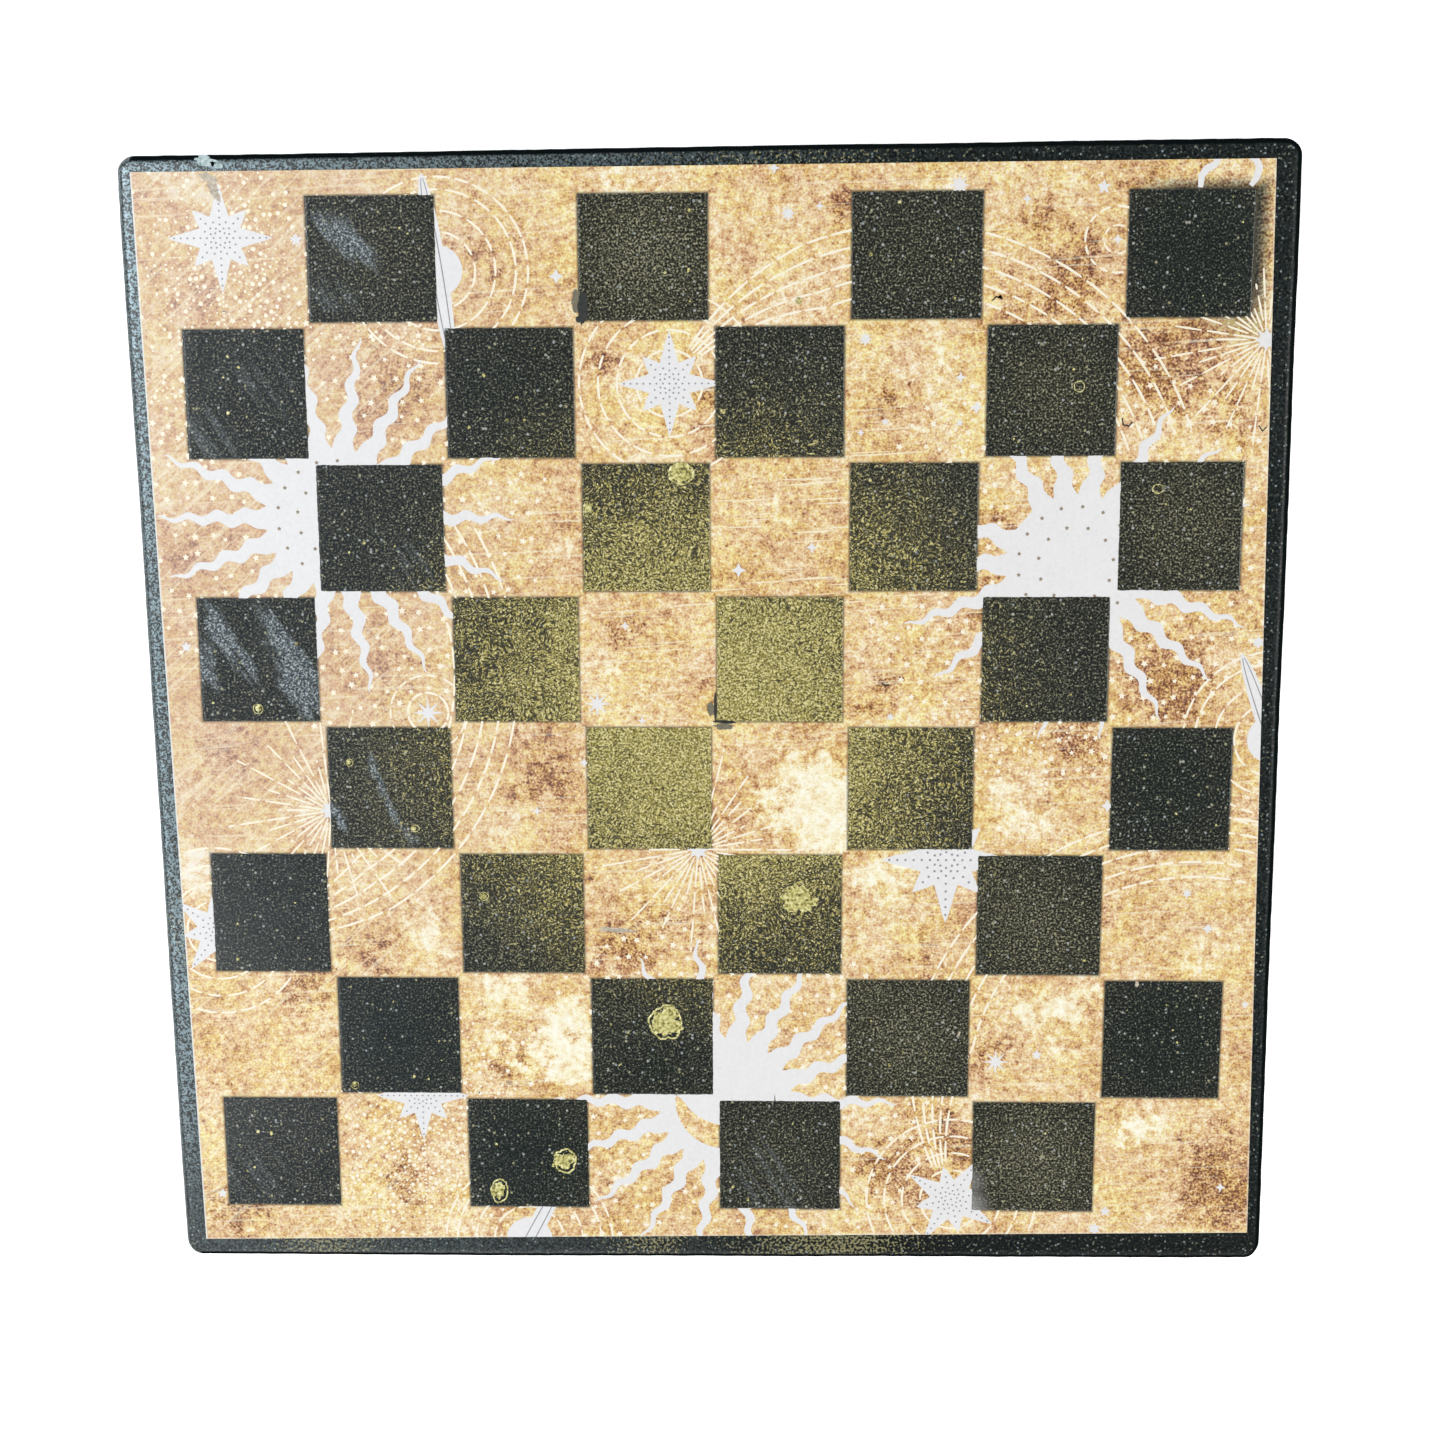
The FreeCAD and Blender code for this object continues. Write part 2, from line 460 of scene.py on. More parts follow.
def with_painted_reflection(colour, field, fine):
    """Painted reflection streaks in the brushed varnish, laid over a colour, and how strong they are there.
    """
    reflection_spots = field.warp(6.0, 0.16).smears(REFLECTION_STREAKS)
    streak = field.streaks(-58.0, 1.6, 24.0, 6.0)
    cloud = ((streak - 0.5) * 4.4 + reflection_spots).ease(0.15, 1.05) * reflection_spots.maths("MINIMUM", 1.0)
    # The grey-blue of the painted reflection
    reflection_colour = fine.ramp((0.38, rgb(50, 56, 60)), (0.52, rgb(100, 108, 113)), (0.68, rgb(190, 200, 204)))
    return colour.mix(cloud * 0.95, reflection_colour), cloud


def misted(colour, field, fine, cover):
    """The drift of gold over a colour: yellow in its middle, greyer where the cover is thin."""
    gold = fine.ramp((0.36, rgb(96, 90, 52)), (0.50, rgb(160, 150, 96)), (0.64, rgb(232, 222, 164)))
    yellow = field.warp(2.0, 0.4).noise(44.0, 1.5, 0.6).ease(0.46, 0.58, 0.0, 0.30)
    gold = gold.mix(yellow, rgb(190, 176, 82))
    gold = gold.mix(cover.ease(0.45, 0.10, 0.0, 0.9), rgb(146, 147, 130))
    colour = colour.mix(cover.ease(0.15, 0.9, 0.0, 0.65), rgb(84, 77, 56))
    line = cover * -0.41 + 0.76
    gate = field.warp(3.0, 0.3).noise(58.0, 1.5, 0.6).ease(line - 0.05, line + 0.05)
    return colour.mix(gate, gold)


def square_material():
    """Black glitter paint under gloss varnish: dark grains, sparse bright flakes, a drift of gold and painted
    reflections.
    """
    shader = Shader("square_glitter_paint")
    field = shader.field()
    blotch = field.noise(5.0, 4.0, 0.6)
    grain = field.noise(62.0, 1.5, 0.6)
    fine = field.noise(64.0, 1.5, 0.6)
    lightness = field.spots(LIGHTER_PATCHES) - field.spots(DARKER_PATCHES)
    colour = (lightness * 0.050 + grain).ramp(
        (0.38, rgb(28, 32, 32)), (0.51, rgb(48, 50, 46)), (0.61, rgb(86, 87, 74)), (0.74, rgb(166, 166, 146)),
    )
    hue = (lightness * 0.5 + 0.5).ramp(
        (0.1, (0.88, 0.98, 1.0, 1)), (0.5, (0.98, 0.98, 0.98, 1)), (0.9, (1.0, 0.95, 0.86, 1)),
    )
    colour = colour.mix(1.0, hue, "MULTIPLY")
    # Painted reflection: a bluish cast that grows towards the left, where the window's light is reflected
    colour = colour.mix(field.split()[0].ease(3.5, 0.5, 0.0, 0.06), rgb(104, 116, 140))
    # Painted reflection streaks over the paint; cloud is their mask, and the varnish is also rougher there
    colour, cloud = with_painted_reflection(colour, field, fine)
    from_mist = field.warp(1.6, 0.5).flat().vector_maths("DISTANCE", (*MIST_MIDDLE, 0), output="Value")
    mist = from_mist.ease(MIST_CORE, MIST_REACH, 1.0, 0.0, "LINEAR")
    cover = mist * blotch.ease(0.25, 0.7, 0.85, 1.1)
    colour = misted(colour, field, fine, cover)
    bright, tint = flakes(field, 48.0, 0.03)
    flake = tint.ramp((0.2, rgb(176, 172, 136)), (0.5, rgb(190, 194, 190)), (0.9, rgb(158, 168, 172)))
    colour = colour.mix(bright * cover.ease(0.8, 0.3, 0.0, 0.75), flake)
    worn = field.spots(((6.00, 0.10, 0.22, 0.6), (6.00, 0.30, 0.18, 0.4)))
    colour = colour.mix(worn, rgb(176, 174, 174))
    normal = grain.bump(0.04 * MM, 0.25, field.noise(9.0, 3.0).bump(0.12 * MM, 0.25))
    roughness = blotch.ease(0.3, 0.7, 0.14, 0.22) + cloud * 0.12
    return shader.finish(Base_Color=colour, Roughness=roughness, Normal=normal, Specular_IOR_Level=0.2)


# Where gold mist lies on the panel's border, as (x, y, radius, strength)
OLIVE_SPOTS = (
    (3.4, -0.25, 0.7, 0.9), (4.9, -0.25, 1.6, 1.0), (-0.25, 2.4, 0.7, 0.6), (8.2, 3.5, 1.0, 0.2),
    (0.9, -0.3, 0.9, 0.9), (4.6, 8.15, 2.2, 0.6),
)


def panel_material():
    """Black glitter paint on the panel, rougher than the squares, with painted glare on the left and painted
    shade on the rims.
    """
    shader = Shader("panel_glitter_paint")
    here = shader.here
    field = shader.field()
    x, y, _ = field.split()
    grain = here.noise(1250.0, 1.5, 0.6)
    colour = grain.ramp(
        (0.36, rgb(6, 10, 11)), (0.52, rgb(14, 20, 20)), (0.64, rgb(44, 50, 46)), (0.76, rgb(124, 126, 112)),
    )
    line = field.warp(1.5, 0.6).spots(OLIVE_SPOTS) * -0.24 + 0.70
    colour = colour.mix(grain.ease(line, line + 0.08) * 0.9, rgb(150, 144, 104))
    bright, tint = flakes(field, 60.0, 0.04)
    flake = tint.ramp((0.2, rgb(150, 152, 132)), (0.7, rgb(168, 184, 190)))
    colour = colour.mix(bright * 0.6, flake)
    rightward, _, upward = shader.facing_axes()
    # Painted shade: the rounded edges are darkened and lose their gloss, less so on the left, which the
    # window lights
    rim = upward.ease(0.995, 0.88) * upward.ease(0.15, 0.45) * rightward.ease(-0.20, -0.04, 0.25, 1.0)
    colour = colour.mix(rim, rgb(14, 20, 21))
    face = 1.0 - rim
    # Real glitter flakes and gloss, made stronger towards the left as a painted reflection of the window's
    # glare
    glitter_and_glare_share = face * x.ease(-0.1, 6.0, 0.54, 0.03) * y.ease(-0.25, 1.2, 0.30, 1.0)
    metal_and_glare = glitter_and_glare_share * here.noise(1700.0, 1.5, 0.6).ease(0.45, 0.57)
    # Silvery blue of the flakes, brightest on the left: partly painted reflection of the window
    colour = colour.mix(metal_and_glare, rgb(176, 200, 208))
    normal = grain.bump(0.05 * MM, 0.35, here.noise(160.0, 3.0).bump(0.2 * MM, 0.25))
    roughness = here.noise(90.0, 3.0).ease(0.3, 0.7, 0.30, 0.38) + rim * 0.3
    gloss = face * x.ease(-0.1, 6.0, 0.50, 0.12)
    return shader.finish(Base_Color=colour, Roughness=roughness, Metallic=metal_and_glare, Specular_IOR_Level=gloss,
                         Normal=normal)


def gold_material():
    """Metallic gold paint, thin and broken, with dark showing through."""
    shader = Shader("gold_paint")
    curds = shader.field().noise(40.0, 2.0, 0.6)
    colour = curds.ramp(
        (0.34, rgb(94, 88, 48)), (0.44, rgb(180, 172, 98)), (0.58, rgb(226, 218, 146)),
        (0.72, rgb(248, 245, 202)),
    )
    return shader.finish(Base_Color=colour, Roughness=0.38, Metallic=0.12, Normal=curds.bump(0.08 * MM, 0.8))


def blot_material(name, dark, light, scale=60.0):
    """Dried paint or wear in two shades."""
    shader = Shader(name)
    mottle = shader.field().noise(scale, 4.0, 0.7)
    return shader.finish(Base_Color=mottle.ramp((0.35, dark), (0.65, light)), Roughness=0.4,
                         Specular_IOR_Level=0.3, Normal=mottle.bump(0.05 * MM, 0.5))


def floor_material():
    shader = Shader("floor_white")
    shade = shader.here.noise(3.0, 2.0).ramp((0, (0.93, 0.93, 0.93, 1)), (1, (0.96, 0.96, 0.96, 1)))
    return shader.finish(Base_Color=shade, Roughness=0.9, Emission_Color=(1, 1, 1, 1), Emission_Strength=0.4)


# ---------------------------------------------------------------- flat shapes, as outlines of points (x, y)

def polar(centre, radius, degrees):
    angle = math.radians(degrees)
    return centre[0] + radius * math.cos(angle), centre[1] + radius * math.sin(angle)


def direction(degrees):
    """One unit of length that way."""
    return Vector(polar((0, 0), 1, degrees))


def turned(centre, along, across, degrees):
    """The place so far along and across from a centre, on axes turned by degrees."""
    cosine, sine = polar((0, 0), 1, degrees)
    return centre[0] + along * cosine - across * sine, centre[1] + along * sine + across * cosine


def disc(centre, radius, points):
    return [polar(centre, radius, 360 * k / points) for k in range(points)]


def pointed_star(centre, radius, points, waist, turn=0.0):
    """A plain star: points tips at the radius, and as many notches at waist times the radius."""
    step = 180 / points
    return [polar(centre, radius * (waist if k % 2 else 1), turn + k * step) for k in range(2 * points)]


def eight_point_star(centre, radius, turn):
    """A star with four long leaf-shaped points and four short ones between them."""
    quarter = ((1.0, 0), (0.84, 4), (0.64, 10), (0.43, 25), (0.58, 37),
               (0.73, 45), (0.58, 53), (0.43, 65), (0.64, 80), (0.84, 86))
    whole = [(share, 90 * k + degrees) for k in range(4) for share, degrees in quarter]
    return [polar(centre, radius * share, turn + degrees) for share, degrees in whole]


def star_dots(centre, radius, turn):
    """The fine dots along an eight-point star's rays and round its middle."""
    dots = [(0, 0)]
    for k in range(8):
        steps = 7 if k % 2 == 0 else 4
        dots += [(0.125 * step, 45 * k) for step in range(1, steps + 1)]
        dots += [(share, 45 * k + 22.5) for share in (0.19, 0.31)]
    return [disc(polar(centre, share * radius, turn + degrees), 0.020 * radius, 8) for share, degrees in dots]


SUN_RAYS = 18
SUN_DISC = 0.52             # radius of the disc, where the rays meet
SUN_REACH = 1.37            # radius of the tips of the rays


def sun(centre, missing):
    """A disc whose corners are where the rays meet, and wavy tapering rays, but for the missing ones."""
    step = 360 / SUN_RAYS
    outlines = [[polar(centre, SUN_DISC, step * (k + 0.5)) for k in range(SUN_RAYS)]]
    for k in range(SUN_RAYS):
        if step * k not in missing:
            outlines.append(sun_ray(centre, step * k))
    return outlines


def ribbon(points, halves):
    """The outline round a line of points, given the step from each point to its left edge."""
    left = [tuple(point + half) for point, half in zip(points, halves)]
    right = [tuple(point - half) for point, half in zip(points, halves)]
    return right + left[::-1]


def sun_ray(centre, degrees, steps=34):
    """One wavy ray, from the disc to its tip and back."""
    across = direction(degrees + 90)
    points = []
    halves = []
    for k in range(steps + 1):
        t = k / steps
        sway = 0.026 * math.sin(2 * math.pi * 3.9 * t) * min(1, 5 * t) * (1 - 0.3 * t)
        radius = SUN_DISC * math.cos(math.pi / SUN_RAYS) + (SUN_REACH - SUN_DISC) * t
        points.append(Vector(polar(centre, radius, degrees)) + across * sway)
        halves.append(across * (0.068 * (1 - t) ** 0.75 + 0.0223 * math.exp(-14 * t)))
    return ribbon(points, halves)


def sun_dots(centre):
    """Two rings of small stars near the rim of a sun's disc."""
    rings = ((0.28, 11, 7), (0.43, 17, 0))
    return [
        pointed_star(polar(centre, radius, first + 360 * k / count), 0.017, 5, 0.6, 90)
        for radius, count, first in rings for k in range(count)
    ]


def crescent(centre):
    """The gap between a sun's disc and the brighter disc inside it, as a horned moon."""
    outer = [polar(centre, 0.395, degrees) for degrees in range(172, 371, 6)]
    inner_middle = (centre[0] + 0.03, centre[1] + 0.22)
    inner = [polar(inner_middle, 0.425, degrees) for degrees in range(330, 209, -6)]
    return outer + inner


def stroke(points, width):
    """A brush line through points: an outline of the given width that thins towards both ends."""
    points = [Vector(point) for point in points]
    last = len(points) - 1
    halves = []
    for k in range(last + 1):
        along = (points[min(last, k + 1)] - points[max(0, k - 1)]).normalized()
        swell = math.sin(math.pi * (0.22 + 0.56 * k / last))
        halves.append(Vector((-along.y, along.x)) * width / 2 * swell)
    return ribbon(points, halves)


DASH = 0.17                 # length of a printed dash
DASH_GAP = 0.035            # length of the gap after it
DASH_STEPS = 6              # straight steps along each dash


def dashes(path, length, width, rng, dash=DASH, gap=DASH_GAP):
    """Broken strokes along a path, which gives a point for each distance from 0 to length."""
    outlines = []
    start = rng.uniform(0, gap)
    while start < length:
        end = min(length, start + dash * rng.uniform(0.55, 1.15))
        if end - start > 0.2 * dash:
            points = [path(start + (end - start) * k / DASH_STEPS) for k in range(DASH_STEPS + 1)]
            outlines.append(stroke(points, width))
        start = end + gap * rng.uniform(0.7, 1.6)
    return outlines


def ring(centre, radius, width, rng, first=0.0, dash=DASH, gap=DASH_GAP):
    """A dashed ring, anticlockwise from an angle in degrees."""
    def path(distance):
        return polar(centre, radius, first + math.degrees(distance / radius))
    return dashes(path, 2 * math.pi * radius, width, rng, min(dash, radius), gap)


TRAIL_RADIUS = 2.06         # of the bend that a comet's trail follows
TRAIL_ANGLE = 149.0         # degrees at which the head lies on that bend, with the trail clockwise from it
TRAIL_SPREAD = 38.0         # degrees of bend over which the lines of a trail fan out
TRAIL_START = 8.0           # degrees of bend from the head's middle to the first dashes
TRAIL_SWEEP = 122.0         # degrees of bend that a whole trail covers
TRAIL_LINES = (0.137, 0.017, -0.103, -0.223, -0.343)    # how far each line ends up outside the bend


def comet_trail(head, turn, rng, mirrored):
    """Five dashed lines that leave a comet's head together, fan out and follow one bend."""
    hand = -1 if mirrored else 1
    start = polar((0, 0), TRAIL_RADIUS, TRAIL_ANGLE)

    def at(radius, degrees):
        x, y = polar((0, 0), radius, degrees)
        return turned(head, hand * (x - start[0]), y - start[1], turn)

    outlines = []
    for spread in TRAIL_LINES:
        def path(distance):
            passed = TRAIL_START + math.degrees(distance / TRAIL_RADIUS)
            return at(TRAIL_RADIUS + spread * min(1, passed / TRAIL_SPREAD), TRAIL_ANGLE - passed)
        outlines += dashes(path, math.radians(TRAIL_SWEEP) * TRAIL_RADIUS, 0.019, rng, dash=0.2)
    return outlines


def head_rings(head, rng):
    """The dashed rings round a comet's head."""
    outlines = []
    for radius in (0.245, 0.39, 0.53, 0.67):
        outlines += ring(head, radius, 0.018, rng, first=rng.uniform(0, 90))
    return outlines


def starburst(centre, rng, rays=38, reach=0.82):
    """Fine rays out of one point, each broken into a few strokes of its own length."""
    outlines = []
    for k in range(rays):
        degrees = 360 * k / rays + rng.uniform(-1.2, 1.2)
        length = reach * (1.0, 0.62, 0.85, 0.5)[k % 4]
        start = 0.07 if k % 2 == 0 else 0.14
        while start < length:
            end = min(length, start + rng.uniform(0.16, 0.24))
            points = [polar(centre, radius, degrees) for radius in (start, (start + end) / 2, end)]
            outlines.append(stroke(points, 0.016))
            start = end + rng.uniform(0.03, 0.05)
    return outlines


def ellipse(centre, along, across, turn, first=0, last=360, steps=60):
    """Points of an ellipse, or of an arc of one, with its long axis turned by degrees."""
    points = []
    for k in range(steps + 1):
        x, y = polar((0, 0), 1, first + (last - first) * k / steps)
        points.append(turned(centre, x * along, y * across, turn))
    return points


PLANET_RADIUS = 0.185
PLANET_RING = (0.70, 0.072)         # half length and half width of the ring, seen almost from its edge
PLANET_ORBITS = (0.28, 0.43, 0.58, 0.67)


# ---------------------------------------------------------------- pieces

def clip(outline, corners):
    """The part of an outline inside a four-sided area, whose corners run anticlockwise."""
    for a, b in around(corners):
        inward = Vector((a.y - b.y, b.x - a.x))
        kept = []
        for p, q in around(outline):
            here, there = inward.dot(p - a), inward.dot(q - a)
            if here >= 0:
                kept.append(p)
            if here * there < 0:
                kept.append(p.lerp(q, here / (here - there)))
        outline = kept
        if len(outline) < 3:
            return []
    return outline


def area(outline):
    return sum(p.x * q.y - q.x * p.y for p, q in around(outline)) / 2


def bridge(mesh, below, above, smooth=False):
    """Joins two rings of vertices by a band of faces."""
    for (a, b), (c, d) in zip(around(below), around(above)):
        mesh.faces.new((a, b, d, c)).smooth = smooth


def add_prism(mesh, outline, low, high):
    """Adds a closed flat solid with this outline to a mesh."""
    if area(outline) < 0:
        outline = outline[::-1]
    bottom = [mesh.verts.new((p.x, p.y, low)) for p in outline]
    top = [mesh.verts.new((p.x, p.y, high)) for p in outline]
    mesh.faces.new(bottom[::-1])
    mesh.faces.new(top)
    bridge(mesh, bottom, top)


def add_object(name, mesh, material):
    """Turns a mesh into an object with one material."""
    data = bpy.data.meshes.new(name)
    mesh.to_mesh(data)
    mesh.free()
    data.materials.append(material)
    made = bpy.data.objects.new(name, data)
    bpy.context.scene.collection.objects.link(made)
    return made


def add_piece(name, mesh, material):
    """Turns a mesh into a piece that rides on the board."""
    piece = add_object(name, mesh, material)
    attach(piece, "root")
    return piece


INK_DEPTH = 0.02 * MM       # how far a print's solid reaches into the card below it
INK_STAGGER = 0.0002 * MM   # between the heights of neighbours of one kind, where they overlap
LEAST_PRINT = 0.05 * MM     # side of the smallest remainder that is kept where the card's edge cuts a print


def print_piece(name, outlines, height, material):
    """Flat shapes on the card, cut off where it ends."""
    mesh = bmesh.new()
    for index, outline in enumerate(outlines):
        kept = clip(places(outline), CARD_CORNERS)
        if len(kept) > 2 and abs(area(kept)) > LEAST_PRINT ** 2:
            add_prism(mesh, kept, CARD_TOP - INK_DEPTH, CARD_TOP + height + (index % 5) * INK_STAGGER)
    add_piece(name, mesh, material)


def add_rings(mesh, rings, smooth):
    """Joins rings of points, from the underside up, into one closed solid. smooth: per band of faces."""
    loops = [[mesh.verts.new(p) for p in points] for points in rings]
    mesh.faces.new(loops[0][::-1])
    mesh.faces.new(loops[-1])
    for below, above, soft in zip(loops, loops[1:], smooth):
        bridge(mesh, below, above, soft)


def wobble(point, scale, amount, seed):
    """Smooth noise that depends on the place, between plus and minus the amount or so."""
    return amount * noise.noise(Vector((point.x * scale, point.y * scale, seed)))


PANEL_CORNER = 5 * MM       # radius of the panel's corners, seen from above
UNDER_EDGE = 1.5 * MM       # radius of its lower edges
UPPER_EDGE = 2.5 * MM       # and of its upper edges


def panel_outline(inset, points_per_corner=12, points_per_side=150):
    """The panel's outline, drawn in by inset, with slight lumps from brushing and sanding."""
    low, high = PANEL_LOW.xy, PANEL_HIGH.xy
    outline = []
    for k, (x, y) in enumerate(((high.x, low.y), (high.x, high.y), (low.x, high.y), (low.x, low.y))):
        inward = Vector((-math.copysign(1, x), -math.copysign(1, y)))
        pivot = Vector((x, y)) + PANEL_CORNER * inward
        first = 270 + 90 * k
        for step in range(points_per_corner):
            outward = direction(first + 90 * step / points_per_corner)
            outline.append((pivot + PANEL_CORNER * outward, outward))
        along = direction(first + 180)
        outward = direction(first + 90)
        start = pivot + PANEL_CORNER * outward
        run = (high.x - low.x) - 2 * PANEL_CORNER
        for step in range(points_per_side):
            outline.append((start + along * run * step / points_per_side, outward))
    shaped = []
    for point, outward in outline:
        lump = 0.15 * MM + wobble(point, 22, 0.25 * MM, 3.0) + wobble(point, 260, 0.12 * MM, 7.0)
        shaped.append(point - outward * (inset + max(0.0, lump)))
    return shaped


def make_panel(material):
    """The painted panel: eased edges all round, a little lumpy, and a flat underside."""
    low, high = PANEL_LOW.z, PANEL_HIGH.z
    profile = []
    for k in range(5):
        angle = math.pi / 2 * k / 4
        profile.append((UNDER_EDGE * (1 - math.sin(angle)), low + UNDER_EDGE * (1 - math.cos(angle))))
    profile.append((0.0, (low + high) / 2))
    for k in range(7):
        angle = math.pi / 2 * k / 6
        profile.append((UPPER_EDGE * (1 - math.cos(angle)), high - UPPER_EDGE * (1 - math.sin(angle))))
    profile.append((UPPER_EDGE + 0.6 * MM, high))
    mesh = bmesh.new()
    rings = [[(p.x, p.y, z) for p in panel_outline(inset)] for inset, z in profile]
    add_rings(mesh, rings, [True] * (len(rings) - 1))
    piece = add_piece("painted_panel", mesh, material)
    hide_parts("board_panel")


# The section of a dark square's rim: how far in, and its height as a share of the paint's thickness
PATCH_PROFILE = ((-0.04 * MM, -0.15), (0.0, 0.25), (0.14 * MM, 0.75), (0.4 * MM, 1.0), (0.9 * MM, 0.93))


def patch_outline(corners, inset, seed, points_per_side=90):
    """A stencilled square's outline, drawn in by inset: slightly ragged, with blunt corners."""
    outline = []
    drawn_in = []
    for before, corner, after in zip(corners[-1:] + corners[:-1], corners, corners[1:] + corners[:1]):
        inward = (before - corner).normalized() + (after - corner).normalized()
        drawn_in.append(corner + inward * inset)
    for a, b in around(drawn_in):
        outward = Vector((b.y - a.y, a.x - b.x)).normalized()
        for k in range(points_per_side):
            point = a.lerp(b, k / points_per_side)
            nearest = min(k, points_per_side - k) * (b - a).length / points_per_side
            blunt = 0.35 * max(0.0, 0.5 * MM - nearest)
            ragged = wobble(point, 450, 0.13 * MM, seed) + wobble(point, 1300, 0.09 * MM, seed + 5)
            outline.append(point + outward * (ragged - blunt))
    return outline


def make_paint_patches(material):
    """The dark squares, each a low patch with a soft ragged rim."""
    depth = PAINT_TOP - CARD_TOP
    for index, square in enumerate(dark_squares()):
        corners = top_corners(f"dark_square_{square}")
        mesh = bmesh.new()
        rings = []
        for inset, share in PATCH_PROFILE:
            z = CARD_TOP + share * depth
            rings.append([(p.x, p.y, z) for p in patch_outline(corners, inset, 10.0 * index)])
        add_rings(mesh, rings, (False, True, True, True))
        piece = add_piece(f"paint_patch_{square}", mesh, material)
        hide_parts(f"dark_square_{square}")


def blob(centre, across, along, turn, ragged, seed, points=40):
    """An uneven round outline, across by along, turned by degrees."""
    outline = []
    for k in range(points):
        spoke = direction(360 * k / points)
        swell = 1 + wobble(spoke, 1.5, ragged, seed) + wobble(spoke, 5, 0.6 * ragged, seed + 9)
        outline.append(turned(centre, swell * spoke.x * across, swell * spoke.y * along, turn))
    return outline


# Gold drops: place, radius across and along, and how much of the inside the gold still covers, where
# more than 1 means a lump without a rim
GOLD_DROPS = (
    ((3.61, 1.62), 0.138, 0.138, 1.0), ((2.79, 0.465), 0.095, 0.102, 0.7), ((2.26, 0.205), 0.074, 0.098, 0.6),
    ((4.625, 2.61), 0.136, 0.114, 1.3), ((3.765, 5.905), 0.098, 0.082, 1.0), ((3.06, 5.65), 0.03, 0.048, 1.0),
    ((0.5, 4.12), 0.04, 0.04, 0.5), ((1.13, 1.085), 0.032, 0.032, 0.3), ((2.2, 2.64), 0.036, 0.036, 0.4),
    ((1.19, 3.7), 0.028, 0.028, 0.4), ((6.7, 6.53), 0.04, 0.044, 0.0), ((7.3, 5.78), 0.044, 0.036, 0.0),
    ((2.67, 4.12), 0.036, 0.04, 0.0), ((1.68, 3.18), 0.034, 0.03, 0.2), ((4.64, 7.16), 0.022, 0.024, 0.6),
)


def add_curd(mesh, outline, pivot, top):
    """Adds a low lump of dried paint with a softened edge, which reaches a little into the paint below."""
    rings = []
    for share, lift in ((1.0, -0.04), (0.97, 0.5), (0.88, 0.92), (0.7, 1.0)):
        z = PAINT_TOP + lift * top if lift > 0 else PAINT_TOP + lift * MM
        rings.append([(*(pivot + share * (p - pivot)), z) for p in outline])
    add_rings(mesh, rings, [True] * (len(rings) - 1))


def add_rim(mesh, outline, pivot, width, top):
    """Adds the closed ring of paint that a drop leaves at its edge as it dries."""
    inner = [p + (pivot - p).normalized() * width for p in outline]
    middle = [p.lerp(q, 0.5) for p, q in zip(outline, inner)]
    low, shoulder, crest = PAINT_TOP - 0.04 * MM, PAINT_TOP + 0.6 * top, PAINT_TOP + top
    loops = []
    for points, z in ((outline, low), (outline, shoulder), (middle, crest), (inner, shoulder), (inner, low)):
        loops.append([mesh.verts.new((p.x, p.y, z)) for p in points])
    for below, above in around(loops):
        bridge(mesh, below, above)


def make_gold_drops(material):
    """Dried drops of gold paint: a raised ragged rim, mostly with a lump of gold inside it."""
    rng = random.Random(5)
    mesh = bmesh.new()
    height = DROP_TOP - PAINT_TOP
    for index, (centre, across, along, cover) in enumerate(GOLD_DROPS):
        points = 72 if across > 0.06 else 28
        outline = places(blob(centre, across, along, 0.0, 0.16, 3.0 * index, points))
        rise = height * min(1.0, 0.25 + across / 0.18)
        if cover <= 1:
            add_rim(mesh, outline, place(*centre), 0.16 * PITCH * min(across, 0.09), rise)
        if cover:
            lean = polar((0, 0), (1 - cover) * 0.35 * across, rng.uniform(60, 200))
            inside = (centre[0] + lean[0], centre[1] + lean[1])
            size = 0.42 + 0.44 * cover
            curd = blob(inside, size * across, size * along, 0.0, 0.55, 3.0 * index + 40, points)
            add_curd(mesh, places(curd), place(*inside), 0.75 * rise)
    piece = add_piece("dried_gold_drops", mesh, material)
    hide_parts("gold_paint_drops")


def scatter(rng, centre, reach, spacing, hole):
    """Places about one spacing apart within reach of a centre, outside of a hole."""
    steps = int(reach / spacing) + 1
    for i in range(-steps, steps + 1):
        for j in range(-steps, steps + 1):
            x = (i + 0.5 * (j % 2) + rng.uniform(-0.28, 0.28)) * spacing
            y = (j + rng.uniform(-0.28, 0.28)) * spacing
            if hole < math.hypot(x, y) < reach:
                yield centre[0] + x, centre[1] + y


SUNS = ((1.15, 5.58), (6.71, 5.22), (4.07, 0.97))
MISSING_RAYS = ((), (0, 140), (160,))       # of each sun, by their direction in degrees
DOTTED_SUNS = SUNS[:2]
HORNED_SUN = SUNS[2]
# Eight-point stars: centre, radius, turn in degrees
STARS = (
    ((0.39, 7.635), 0.39, 0.0),
    ((3.685, 6.565), 0.385, 0.0),
    ((5.78, 2.94), 0.50, 0.0),
    ((1.665, 1.00), 0.37, 0.0),
    ((5.86, 0.16), 0.39, 58.0),
    ((0.10, 2.35), 0.39, 53.3),
)
# Comets: head, turn of the trail in degrees, whether it bends the other way
COMETS = (
    ((3.685, 6.565), 0.0, False),
    ((5.86, 0.16), 58.0, False),
    ((0.10, 2.35), -126.7, True),
)
STARBURSTS = ((8.05, 6.86), (1.03, 3.32), (3.87, 3.02))
# Ringed planets: centre, direction of the ring in degrees
PLANETS = (((1.985, 7.39), 98.0), ((8.22, 3.89), 111.0), ((2.49, -0.21), 62.0))
